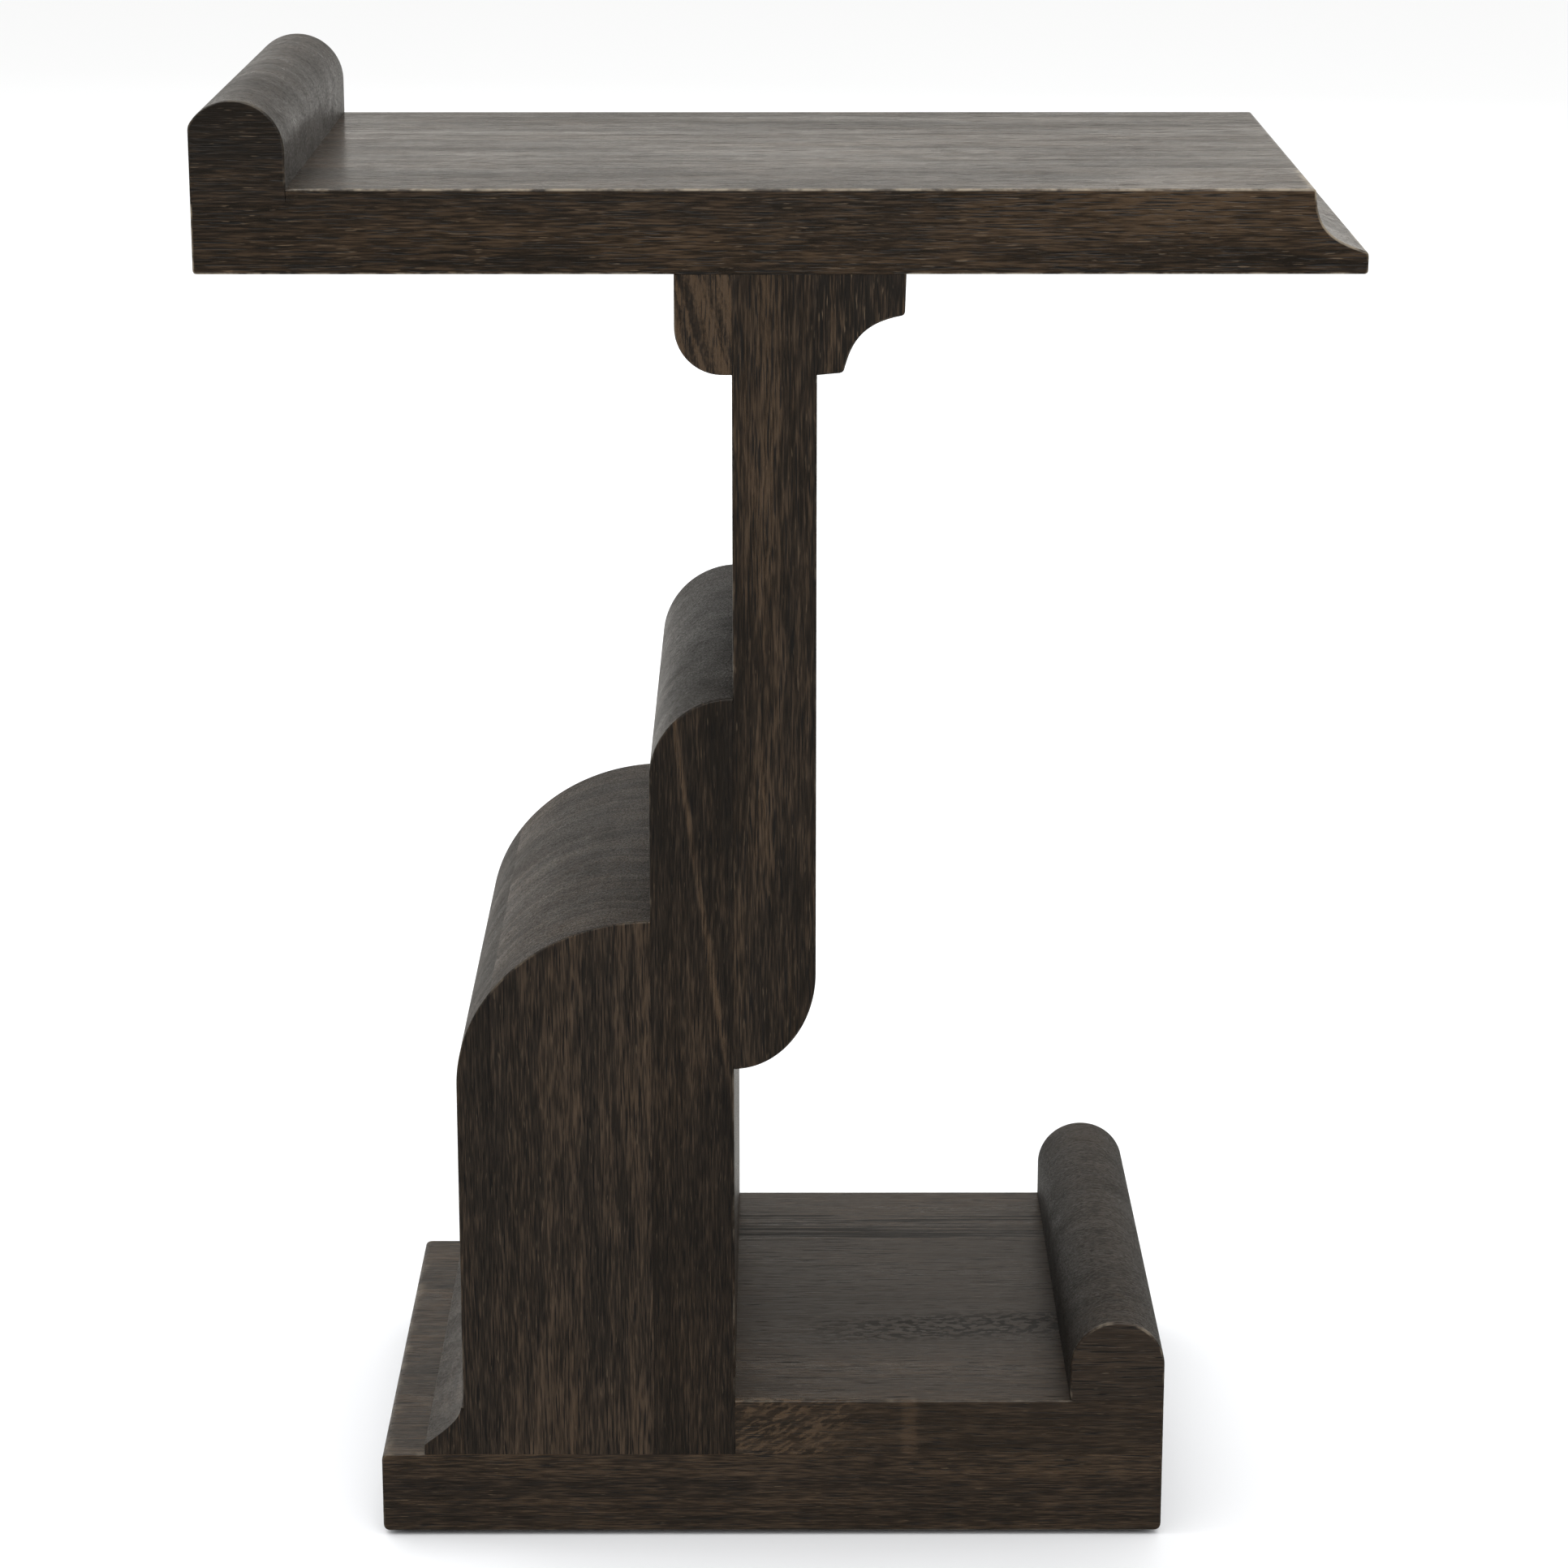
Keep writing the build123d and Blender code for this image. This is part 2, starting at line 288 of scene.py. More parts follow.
# ---- Node helpers -------------------------------------------------------------------------------
class Graph:
    """Short calls for building a node tree."""

    def __init__(self, tree):
        self.tree = tree

    def first(self, kind):
        """The tree's first node of a type."""
        return next(n for n in self.tree.nodes if n.type == kind)

    def put(self, socket, value):
        """Sets an input to a number, or links an output to it."""
        if isinstance(value, bpy.types.NodeSocket):
            self.tree.links.new(value, socket)
        else:
            socket.default_value = value

    def node(self, kind, inputs=None, **settings):
        """A node with its settings and inputs."""
        made = self.tree.nodes.new(kind)
        for key, value in settings.items():
            setattr(made, key, value)
        for key, value in (inputs or {}).items():
            self.put(made.inputs[key], value)
        return made

    def math(self, operation, a, b=0.0, c=0.0):
        """A Math node's value."""
        return self.node("ShaderNodeMath", {0: a, 1: b, 2: c}, operation=operation).outputs[0]

    def add(self, a, b):
        """a plus b."""
        return self.math("ADD", a, b)

    def less(self, a, b):
        """a minus b."""
        return self.math("SUBTRACT", a, b)

    def times(self, a, b):
        """a times b."""
        return self.math("MULTIPLY", a, b)

    def times_add(self, a, b, c):
        """a times b, plus c."""
        return self.math("MULTIPLY_ADD", a, b, c)

    def stretch(self, vector, scale):
        """The vector times a scale for each axis."""
        return self.node("ShaderNodeVectorMath", {0: vector, 1: scale}, operation="MULTIPLY").outputs[0]

    def shift(self, vector, by):
        """The vector plus another one."""
        return self.node("ShaderNodeVectorMath", {0: vector, 1: by}, operation="ADD").outputs[0]

    def noise(self, vector, scale=1.0, detail=2.0, roughness=0.5):
        """A noise value from 0 to 1."""
        inputs = {"Vector": vector, "Scale": scale, "Detail": detail, "Roughness": roughness}
        return self.node("ShaderNodeTexNoise", inputs).outputs[0]

    def line_noise(self, value, scale, detail=2.0, roughness=0.6):
        """Noise along one number."""
        inputs = {"W": value, "Scale": scale, "Detail": detail, "Roughness": roughness}
        return self.node("ShaderNodeTexNoise", inputs, noise_dimensions="1D").outputs[0]

    def ramp(self, value, low, high, to_low=0.0, to_high=1.0, smooth=True):
        """The value mapped from one range to another, and held at its ends."""
        made = self.node("ShaderNodeMapRange", {0: value, 1: low, 2: high, 3: to_low, 4: to_high})
        made.interpolation_type = "SMOOTHSTEP" if smooth else "LINEAR"
        return made.outputs[0]

    def band(self, value, low, high, blur):
        """1 between low and high, and 0 outside them, with blurred ends."""
        rise = self.ramp(value, low - blur, low + blur)
        fall = self.ramp(value, high - blur, high + blur, 1.0, 0.0)
        return self.times(rise, fall)

    def mix(self, factor, a, b):
        """Two colours mixed."""
        made = self.node("ShaderNodeMix", data_type="RGBA")
        for index, value in ((0, factor), (6, a), (7, b)):
            self.put(made.inputs[index], value)
        return made.outputs[2]

    def split(self, vector):
        """X, Y and Z of a vector."""
        return self.node("ShaderNodeSeparateXYZ", {0: vector}).outputs

    def join(self, x, y, z):
        """A vector from three values."""
        return self.node("ShaderNodeCombineXYZ", {0: x, 1: y, 2: z}).outputs[0]

    def place(self):
        """The place on the table, in metres in the CAD frame."""
        return self.node("ShaderNodeTexCoord").outputs["Object"]

    def surface(self, colour, rough, height, strength, distance):
        """Gives the shader its colour, roughness and bump."""
        bump = self.node("ShaderNodeBump", {"Height": height, "Strength": strength, "Distance": distance})
        shader = self.first("BSDF_PRINCIPLED")
        self.put(shader.inputs["Base Color"], colour)
        self.put(shader.inputs["Roughness"], rough)
        self.put(shader.inputs["Normal"], bump.outputs[0])


def new_material(name):
    """A material, and the graph of its nodes."""
    material = bpy.data.materials.new(name)
    material.use_nodes = True
    return material, Graph(material.node_tree)


def set_shader(material, socket, value):
    """Sets an input of the material's shader that is the same all over."""
    Graph(material.node_tree).first("BSDF_PRINCIPLED").inputs[socket].default_value = value


def rgb(*screen):
    """A colour given as it looks on a screen, from 0 to 255, as the shader wants it."""
    parts = [v / 255 for v in screen]
    return tuple(((v + 0.055) / 1.055) ** 2.4 if v > 0.04045 else v / 12.92 for v in parts) + (1.0,)


# ---- Wood ---------------------------------------------------------------------------------------
DARK = rgb(25, 18, 10)
MIDDLE = rgb(46, 35, 24)
LIGHT = rgb(77, 61, 45)
PORE_DARK = rgb(10, 7, 5)
PORE_LIGHT = rgb(105, 88, 68)
# Colour of rubbed edges, also used as a painted highlight along the eased edges
WORN_AND_HIGHLIT = rgb(150, 138, 120)
SPECULAR = 0.42

# Noise scales per metre: along the grain, across it, and up through it
SWAY_SCALE = (3.2, 14.0, 14.0)
FIBRE_SCALE = (95.0, 1500.0, 1500.0)
STRAND_SCALE = (36.0, 900.0, 900.0)
PATCH_SCALE = (9.0, 34.0, 34.0)
PORE_SCALE = (60.0, 1500.0, 1500.0)
DOT_SCALE = (300.0, 1000.0, 1000.0)
FLECK_SCALE = (120.0, 1500.0, 1500.0)
SHEEN_SCALE = (6.0, 60.0, 60.0)
# The third scale here breaks up the edge wear and painted highlight
BAND_SCALE, BROAD_SCALE, WEAR_AND_HIGHLIGHT_SCALE = 300.0, 75.0, 85.0

# The part of each noise that its pattern rises over
BAND_RISE, BROAD_RISE = (0.32, 0.70), (0.34, 0.68)
FIBRE_RISE, PATCH_RISE = (0.34, 0.66), (0.33, 0.68)
PORE_RISE, DOT_RISE, FLECK_RISE = (0.60, 0.69), (0.46, 0.58), (0.70, 0.78)
END_GRAIN_RISE = (0.25, 0.95)
# How soon the edge wear and painted highlight break up
WEAR_AND_HIGHLIGHT_RISE = 0.26

# Where a board lies in the endless noise and in its tree, for each unit of its seed
SEED_SHIFT = (1.37, 0.731, 0.417)
SEED_RING = 0.213
FLECK_SHIFT = (3.1, 5.3, 2.9)
PITH_SPREAD = (13.0 * MM, 11.0 * MM)
SWAY = (30.0 * MM, 18.0 * MM)

# How much each pattern lightens the stain. A value of 0 is the darkest wood, and 1 the lightest.
BAND_WEIGHT, BROAD_WEIGHT = 0.16, 0.16
STRAND_WEIGHT, FIBRE_WEIGHT, PATCH_WEIGHT = 0.34, 0.62, 0.36
END_GRAIN_WEIGHT = -0.20
PLAIN_VALUE = 0.45
DARK_TO_MIDDLE, MIDDLE_TO_LIGHT = (0.0, 0.52), (0.45, 1.05)

# How strongly pores and flecks colour the wood, and how they gather in patches
PORE_SHADE, DOT_SHARE, FLECK_SHADE = 0.85, 0.5, 0.40
PORE_CROWDING, FLECK_CROWDING = 0.05, -0.6
# How sharply the edge wear and painted highlight fall off away from an edge
WEAR_AND_HIGHLIGHT_POWER = 1.6

# What makes the finish duller, and the bump higher
DULL_CLOUDS, DULL_PORES, DULL_FIBRE, DULL_STRAND, DULL_DARK = 0.24, 0.30, 0.10, 0.16, 0.22
DARK_IS_DULL = (-0.2, 0.9, 1.0, 0.0)
MEAN_DULLNESS = 0.36
FIBRE_HEIGHT, STRAND_HEIGHT, PORE_HEIGHT, FLECK_HEIGHT = 0.35, 0.40, -0.80, -0.35
BUMP_DEPTH = 0.30 * MM


def growth_rings(g, seat, across, up, pith, seed):
    """Distance from the tree's middle, which wanders along the board."""
    wander = g.less(g.noise(g.stretch(seat, SWAY_SCALE), detail=3.0), 0.5)
    middle_across = pith[0] + PITH_SPREAD[0] * math.sin(seed)
    middle_up = pith[1] + PITH_SPREAD[1] * math.cos(seed)
    off_across = g.times_add(wander, SWAY[0], g.add(across, middle_across))
    off_up = g.times_add(wander, SWAY[1], g.add(up, middle_up))
    ring = g.math("SQRT", g.add(g.times(off_across, off_across), g.times(off_up, off_up)))
    return g.add(ring, seed * SEED_RING)


def stain_value(g, patterns, contrast, tone):
    """How light the stain is from place to place, from patterns and their weights."""
    value = 0.0
    for pattern, weight in patterns:
        value = g.times_add(pattern, weight, value)
    mean = sum(weight for _, weight in patterns) / 2
    return g.times_add(g.less(value, mean), contrast, PLAIN_VALUE + tone)


def open_pores(g, seat, crowd, end_grain, pits):
    """Dark pores: long ones along the fibres, dots on end grain, and the board's own."""
    long_pores = g.noise(g.stretch(seat, PORE_SCALE), detail=1.0, roughness=0.4)
    pores = g.ramp(g.add(long_pores, crowd), *PORE_RISE)
    if pits is not None:
        pores = g.math("MAXIMUM", pores, pits)
    dots = g.ramp(g.noise(g.stretch(seat, DOT_SCALE), detail=2.0), *DOT_RISE)
    return g.math("MAXIMUM", pores, g.times(g.times(dots, end_grain), DOT_SHARE))


def light_flecks(g, seat, crowd):
    """Short pores filled with light finish."""
    short_pores = g.noise(g.stretch(g.shift(seat, FLECK_SHIFT), FLECK_SCALE), detail=1.0, roughness=0.4)
    return g.ramp(g.times_add(crowd, FLECK_CROWDING, short_pores), *FLECK_RISE)


def edge_wear_and_highlight(g, seat, wear_and_highlight_cutoff):
    """Where edges are rubbed through, and where a painted highlight lies along them, from the values that a
    board's points carry. A lower cutoff means more.
    """
    wear_and_highlight = g.node("ShaderNodeAttribute", attribute_name="wear_and_highlight").outputs["Fac"]
    wear_and_highlight_breaks = g.noise(seat, scale=WEAR_AND_HIGHLIGHT_SCALE, detail=3.0, roughness=0.65)
    return g.times(g.math("POWER", wear_and_highlight, WEAR_AND_HIGHLIGHT_POWER), g.ramp(wear_and_highlight_breaks, wear_and_highlight_cutoff, wear_and_highlight_cutoff + WEAR_AND_HIGHLIGHT_RISE))


def wood(name, grain, seed, tone=0.0, pith=(0.09, 0.05), stripes=1.0, flecks=1.0, shine=0.36, edge=0.2,
         contrast=1.05, relief=0.45, wear_and_highlight_cutoff=0.46, figure=None):
    """Dark-stained open-grained hardwood. grain is the axis the fibres follow. tone lightens the board. pith
    is the tree's middle from the board's, across the grain. A lower shine is glossier. edge is how much the
    rubbed edges show, and with them a painted highlight along the eased edges. figure adds a board's own
    marks."""
    material, g = new_material(name)
    x, y, z = g.split(g.place())
    along, across, up = (x, y, z) if grain == "X" else (z, y, x)
    seat = g.shift(g.join(along, across, up), tuple(seed * by for by in SEED_SHIFT))
    ring = growth_rings(g, seat, across, up, pith, seed)
    bands = g.ramp(g.line_noise(ring, BAND_SCALE, 3.0, 0.65), *BAND_RISE)
    broad = g.ramp(g.line_noise(ring, BROAD_SCALE, 2.0), *BROAD_RISE)
    fibre = g.noise(g.stretch(seat, FIBRE_SCALE), detail=2.0)
    fibre = g.ramp(fibre, *FIBRE_RISE, smooth=False)
    strand = g.noise(g.stretch(seat, STRAND_SCALE), detail=3.0, roughness=0.65)
    strand = g.ramp(strand, *FIBRE_RISE, smooth=False)
    patch = g.ramp(g.noise(g.stretch(seat, PATCH_SCALE), detail=4.0, roughness=0.6), *PATCH_RISE)
    patterns = [(bands, BAND_WEIGHT * stripes), (broad, BROAD_WEIGHT * stripes), (strand, STRAND_WEIGHT),
                (fibre, FIBRE_WEIGHT), (patch, PATCH_WEIGHT)]
    value = stain_value(g, patterns, contrast, tone)
    normal = g.split(g.node("ShaderNodeNewGeometry").outputs["Normal"])
    end_grain = g.ramp(g.math("ABSOLUTE", normal[0 if grain == "X" else 2]), *END_GRAIN_RISE)
    value = g.times_add(end_grain, END_GRAIN_WEIGHT, value)
    value, pits = figure(g, value, x, y, z, seat) if figure else (value, None)

    crowd = g.times(g.less(patch, 0.5), PORE_CROWDING)
    pores = open_pores(g, seat, crowd, end_grain, pits)
    lit = light_flecks(g, seat, crowd)
    colour = g.mix(g.ramp(value, *DARK_TO_MIDDLE, smooth=False), DARK, MIDDLE)
    colour = g.mix(g.ramp(value, *MIDDLE_TO_LIGHT, smooth=False), colour, LIGHT)
    colour = g.mix(g.times(pores, PORE_SHADE), colour, PORE_DARK)
    colour = g.mix(g.times(lit, FLECK_SHADE * flecks), colour, PORE_LIGHT)
    # Rubbed edges, and where edge is high, a painted highlight along the eased edges
    colour = g.mix(g.times(edge_wear_and_highlight(g, seat, wear_and_highlight_cutoff), edge), colour, WORN_AND_HIGHLIT)

    clouds = g.noise(g.stretch(seat, SHEEN_SCALE), detail=3.0)
    rough = g.times_add(clouds, DULL_CLOUDS, shine - MEAN_DULLNESS)
    rough = g.times_add(pores, DULL_PORES, rough)
    rough = g.times_add(fibre, DULL_FIBRE, rough)
    rough = g.times_add(strand, DULL_STRAND, rough)
    rough = g.times_add(g.ramp(value, *DARK_IS_DULL, smooth=False), DULL_DARK, rough)
    height = g.times_add(fibre, FIBRE_HEIGHT, g.times(strand, STRAND_HEIGHT))
    height = g.times_add(pores, PORE_HEIGHT, height)
    height = g.times_add(lit, FLECK_HEIGHT, height)
    g.surface(colour, rough, height, relief, BUMP_DEPTH)
    set_shader(material, "Specular IOR Level", SPECULAR)
    return material


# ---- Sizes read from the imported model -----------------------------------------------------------
def low(node, axis):
    """A node's lowest place along an axis."""
    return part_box(node)[0]["XYZ".index(axis)]


def high(node, axis):
    """A node's highest place along an axis."""
    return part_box(node)[1]["XYZ".index(axis)]


TOP_LEFT, TOP_RIGHT = low("top_stave_1", "X"), high("top_stave_1", "X")
TOP_UNDER, TOP_FACE = low("top_stave_1", "Z"), high("top_stave_1", "Z")
FACE_FRONT, FACE_REAR = low("post", "Y"), high("post", "Y")
SEAM_X, POST_RIGHT = low("post", "X"), high("post", "X")
POST_LOW = low("post", "Z")
BOARD_LEFT, BOARD_TOP = low("column_board", "X"), high("column_board", "Z")
BLOCK_LEFT, BLOCK_TOP = low("column_block", "X"), high("column_block", "Z")
FACING_LEFT = low("column_facing", "X")
SHELF_RIGHT, SHELF_FACE = high("shelf_stave_1", "X"), high("shelf_stave_1", "Z")
PLINTH_LEFT, PLINTH_RIGHT = low("plinth_stave_1", "X"), high("plinth_stave_1", "X")
PLINTH_LOW, PLINTH_FACE = low("plinth_stave_1", "Z"), high("plinth_stave_1", "Z")
ROLL_RIGHT, ROLL_CREST, ROLL_FOOT = high("top_roll", "X"), high("top_roll", "Z"), low("top_roll", "Z")
BASE_ROLL_LEFT, BASE_ROLL_CREST = low("base_roll", "X"), high("base_roll", "Z")
COVE_LEFT, COVE_TOP = low("base_cove", "X"), high("base_cove", "Z")
BRACKET_LEFT, BRACKET_LOW = low("bracket_left", "X"), low("bracket_left", "Z")
BRACKET_RIGHT = high("bracket_right", "X")

TOP_ROLL_RADIUS = 20.9 * MM
TOP_LIP = 9.0 * MM
TOP_COVE_WIDTH = 22.4 * MM
TOP_COVE_BROW_PULL = 18.0 * MM
TOP_COVE_LIP_PULL = 14.0 * MM
TOP_COVE_LIP_RISE = 4.6 * MM
BRACKET_ROUND = 20.0 * MM
HOLLOW_EDGE_IN, HOLLOW_EDGE_DROP = 0.5 * MM, 17.0 * MM
HOLLOW_EDGE_PULL = (17.8 * MM, 3.0 * MM)
HOLLOW_FOOT_OUT, HOLLOW_FOOT_RISE = 10.9 * MM, 1.0 * MM
HOLLOW_FOOT_PULL = (3.1 * MM, 12.8 * MM)
POST_ROUND = 43.5 * MM
COLUMN_ROUND = 75.0 * MM
BASE_COVE_FLAT = 1.0 * MM
BASE_COVE_LIP = 4.5 * MM
BASE_COVE_BROW_PULL = 6.5 * MM
BASE_COVE_LIP_PULL = 5.0 * MM
BASE_COVE_LIP_RISE = 4.0 * MM
POCKET_RADIUS = 8.5 * MM
POCKET_DEPTH = 12.0 * MM
STAVES = 4
STAVE = (FACE_REAR - FACE_FRONT) / STAVES


# ---- Outlines of the boards ---------------------------------------------------------------------
def top_outline():
    brow, lip = (TOP_RIGHT - TOP_COVE_WIDTH, TOP_FACE), (TOP_RIGHT, TOP_UNDER + TOP_LIP)
    lip_pull = (lip[0] - TOP_COVE_LIP_PULL, lip[1] + TOP_COVE_LIP_RISE)
    hollow = bezier(lip, lip_pull, (brow[0], brow[1] - TOP_COVE_BROW_PULL), brow)
    o = Outline(TOP_LEFT, TOP_UNDER).line(BRACKET_LEFT, TOP_UNDER).line(BRACKET_RIGHT, TOP_UNDER, False)
    o.line(TOP_RIGHT, TOP_UNDER).line(*lip).through(hollow).line(ROLL_RIGHT, TOP_FACE)
    o.line(ROLL_RIGHT, ROLL_FOOT, False).line(TOP_LEFT, ROLL_FOOT, False)
    return o.close()


def top_roll_outline():
    r = TOP_ROLL_RADIUS
    middle, spring = ROLL_RIGHT - r, ROLL_CREST - r
    outer_turn = 180 - math.degrees(math.acos(min(1.0, (middle - TOP_LEFT) / r)))
    o = Outline(TOP_LEFT, ROLL_FOOT).line(ROLL_RIGHT, ROLL_FOOT, False).line(ROLL_RIGHT, TOP_FACE, False)
    o.line(ROLL_RIGHT, spring).through(arc(middle, spring, r, r, 0, outer_turn, 44))
    return o.close()


def base_roll_outline():
    r = (SHELF_RIGHT - BASE_ROLL_LEFT) / 2
    o = Outline(BASE_ROLL_LEFT, SHELF_FACE).line(SHELF_RIGHT, SHELF_FACE, False)
    o.line(SHELF_RIGHT, BASE_ROLL_CREST - r)
    o.through(arc(SHELF_RIGHT - r, BASE_ROLL_CREST - r, r, r, 0, 180, 48))
    return o.close()


def bracket_left_outline():
    r = BRACKET_ROUND
    o = Outline(BRACKET_LEFT + r, BRACKET_LOW).line(SEAM_X, BRACKET_LOW).line(SEAM_X, TOP_UNDER, False)
    o.line(BRACKET_LEFT, TOP_UNDER, False).line(BRACKET_LEFT, BRACKET_LOW + r)
    corner = arc(BRACKET_LEFT + r, BRACKET_LOW + r, r, r, 180, 90, 24)
    return o.through(corner[:-1]).close()


def bracket_right_outline():
    edge = (BRACKET_RIGHT - HOLLOW_EDGE_IN, TOP_UNDER - HOLLOW_EDGE_DROP)
    foot = (POST_RIGHT + HOLLOW_FOOT_OUT, BRACKET_LOW + HOLLOW_FOOT_RISE)
    foot_pull = (foot[0] + HOLLOW_FOOT_PULL[0], foot[1] + HOLLOW_FOOT_PULL[1])
    edge_pull = (edge[0] - HOLLOW_EDGE_PULL[0], edge[1] - HOLLOW_EDGE_PULL[1])
    hollow = bezier(foot, foot_pull, edge_pull, edge)
    o = Outline(POST_RIGHT, BRACKET_LOW).line(*foot).through(hollow)
    return o.line(BRACKET_RIGHT, TOP_UNDER).line(POST_RIGHT, TOP_UNDER, False).close(False)


def post_outline():
    corner = arc(SEAM_X, POST_LOW + POST_ROUND, POST_RIGHT - SEAM_X, POST_ROUND, 270, 90, 32)
    o = Outline(SEAM_X, POST_LOW).through(corner).line(POST_RIGHT, BRACKET_LOW)
    o.line(POST_RIGHT, TOP_UNDER, False).line(SEAM_X, TOP_UNDER, False)
    return o.line(SEAM_X, BRACKET_LOW, False).line(SEAM_X, BOARD_TOP).close(False)


def column_board_outline():
    width = SEAM_X - BOARD_LEFT
    o = Outline(BOARD_LEFT, PLINTH_FACE).line(SEAM_X, PLINTH_FACE, False).line(SEAM_X, SHELF_FACE, False)
    o.line(SEAM_X, POST_LOW).line(SEAM_X, BOARD_TOP, False)
    o.through(arc(SEAM_X, BOARD_TOP - width, width, width, 90, 90, 36))
    return o.line(BOARD_LEFT, BLOCK_TOP).close(False)


def step_point(x):
    """Height of the lower step's round over x."""
    part = (BOARD_LEFT - x) / (BOARD_LEFT - FACING_LEFT)
    return BLOCK_TOP - COLUMN_ROUND + COLUMN_ROUND * math.sqrt(max(0.0, 1 - part * part))


def step_arc(start_x, end_x, count):
    """Points of the lower step's round, right to left without the first one, evenly spaced by angle."""
    wide = BOARD_LEFT - FACING_LEFT
    first, last = (math.acos(min(1.0, (BOARD_LEFT - x) / wide)) for x in (start_x, end_x))
    turns = [first + (last - first) * n / count for n in range(1, count + 1)]
    spring = BLOCK_TOP - COLUMN_ROUND
    return [(BOARD_LEFT - wide * math.cos(t), spring + COLUMN_ROUND * math.sin(t)) for t in turns]


def column_block_outline():
    o = Outline(BLOCK_LEFT, PLINTH_FACE).line(BOARD_LEFT, PLINTH_FACE, False)
    return o.line(BOARD_LEFT, BLOCK_TOP, False).through(step_arc(BOARD_LEFT, BLOCK_LEFT, 34)).close(False)


def column_facing_outline():
    o = Outline(FACING_LEFT, PLINTH_FACE).line(BLOCK_LEFT, PLINTH_FACE, False)
    o.line(BLOCK_LEFT, step_point(BLOCK_LEFT), False).through(step_arc(BLOCK_LEFT, FACING_LEFT, 26))
    return o.line(FACING_LEFT, COVE_TOP).close(False)


def base_cove_outline():
    brow, lip = (FACING_LEFT - BASE_COVE_FLAT, COVE_TOP), (COVE_LEFT, PLINTH_FACE + BASE_COVE_LIP)
    lip_pull = (lip[0] + BASE_COVE_LIP_PULL, lip[1] + BASE_COVE_LIP_RISE)
    hollow = bezier(brow, (brow[0], brow[1] - BASE_COVE_BROW_PULL), lip_pull, lip)
    o = Outline(COVE_LEFT, PLINTH_FACE).line(FACING_LEFT, PLINTH_FACE, False)
    return o.line(FACING_LEFT, COVE_TOP, False).line(*brow).through(hollow).close()


def shelf_outline():
    o = Outline(SEAM_X, PLINTH_FACE).line(SHELF_RIGHT, PLINTH_FACE, False).line(SHELF_RIGHT, SHELF_FACE)
    return o.line(BASE_ROLL_LEFT, SHELF_FACE, False).line(SEAM_X, SHELF_FACE).close(False)


def plinth_outline():
    o = Outline(PLINTH_LEFT, PLINTH_LOW).line(PLINTH_RIGHT, PLINTH_LOW).line(PLINTH_RIGHT, PLINTH_FACE)
    return o.line(COVE_LEFT, PLINTH_FACE, False).line(PLINTH_LEFT, PLINTH_FACE).close()


# ---- Special figure of single boards ------------------------------------------------------------
# Each figure changes a board's stain value and may add dark pits. Places are in the CAD frame.
BEHIND_FRONT = (1.0 * MM, 2.5 * MM)        # a riser's crown starts this far behind its front face
TOP_END_FADE, TOP_END_DARK = 90.0 * MM, -0.16
ROLL_JOINT_FADE, ROLL_DARK = 14.0 * MM, -0.14
BASE_ROLL_DARK = -0.16
TOP_ROLL_SPECKS, BASE_ROLL_SPECKS = (0.47, 0.66), (0.42, 0.60)

# Left bracket: slanting curls
CURL_LEAN, CURL_BEND, CURL_SCALE = 3.2, 12.0 * MM, 60.0
CURL_WEIGHT, CURL_SPECK_WEIGHT = 0.62, 0.30
BRACKET_TONES = (-0.34, -0.20)             # at the bracket's left side, and at the post

# Column board: two slanting streaks, by their places in X at height 0. They show high up, near the front.
STREAK_LEAN, STREAK_BEND = 0.146, 3.0 * MM
STREAK, STREAK_BLUR = (8.3 * MM, 10.7 * MM), 1.2 * MM
FAINT_STREAK, FAINT_BLUR, FAINT_SHARE = (17.5 * MM, 21.5 * MM), 1.5 * MM, 0.35
STREAK_FOOT = (190.0 * MM, 240.0 * MM)
STREAK_DEPTH = (2.0 * MM, 6.0 * MM)
STREAK_WEIGHT = 0.60

# Post: a wavy streak, measured from the seam, that fades at its foot and its head
POST_STREAK, POST_STREAK_BLUR = (11.0 * MM, 19.0 * MM), 4.0 * MM
POST_STREAK_BEND, POST_STREAK_WAVES = 12.0 * MM, 14.0
POST_STREAK_FOOT, POST_STREAK_HEAD = (270.0 * MM, 360.0 * MM), (520.0 * MM, 600.0 * MM)
POST_STREAK_WEIGHT = 0.26

# Front of the top: heights above its underside, and a patch between two places in X
TOP_FOOT, TOP_FOOT_DARK = (1.0 * MM, 9.0 * MM), -0.16
TOP_PATCH, TOP_PATCH_BLUR, TOP_PATCH_RISE = (135.0 * MM, 200.0 * MM), 35.0 * MM, (4.0 * MM, 24.0 * MM)
TOP_LINE, TOP_LINE_BLUR = (12.0 * MM, 21.0 * MM), 6.0 * MM
TOP_PATCH_WEIGHT, TOP_LINE_WEIGHT = 0.24, 0.10

# Front of the shelf: curls that fade behind the front and to the right, and a light band across it
CURLY_FRONT = (1.5 * MM, 4.0 * MM)
CURLY_FADE, CURLY_END = (8.0 * MM, 46.0 * MM), (58.0 * MM, 66.0 * MM)
CURLY_SLANT, CURLY_WEIGHT = 0.5, 0.75
LIGHT_BAND, LIGHT_BAND_BLUR, LIGHT_BAND_WEIGHT = (53.5 * MM, 60.0 * MM), 1.8 * MM, 0.26

# Second stave of the shelf: a strip of pits, measured from the front
PIT_STRIP, PIT_STRIP_BLUR = (63.0 * MM, 90.0 * MM), 7.0 * MM
PIT_LEAN, PIT_REACH, PIT_DEPTH = 0.09, (-5.0 * MM, 60.0 * MM), 0.9

# Last stave of the shelf: streaks that end before the rear
STREAKY_END = (31.0 * MM, 25.0 * MM)
STREAKY_LIFT, STREAKY_PITS = 0.10, 0.5


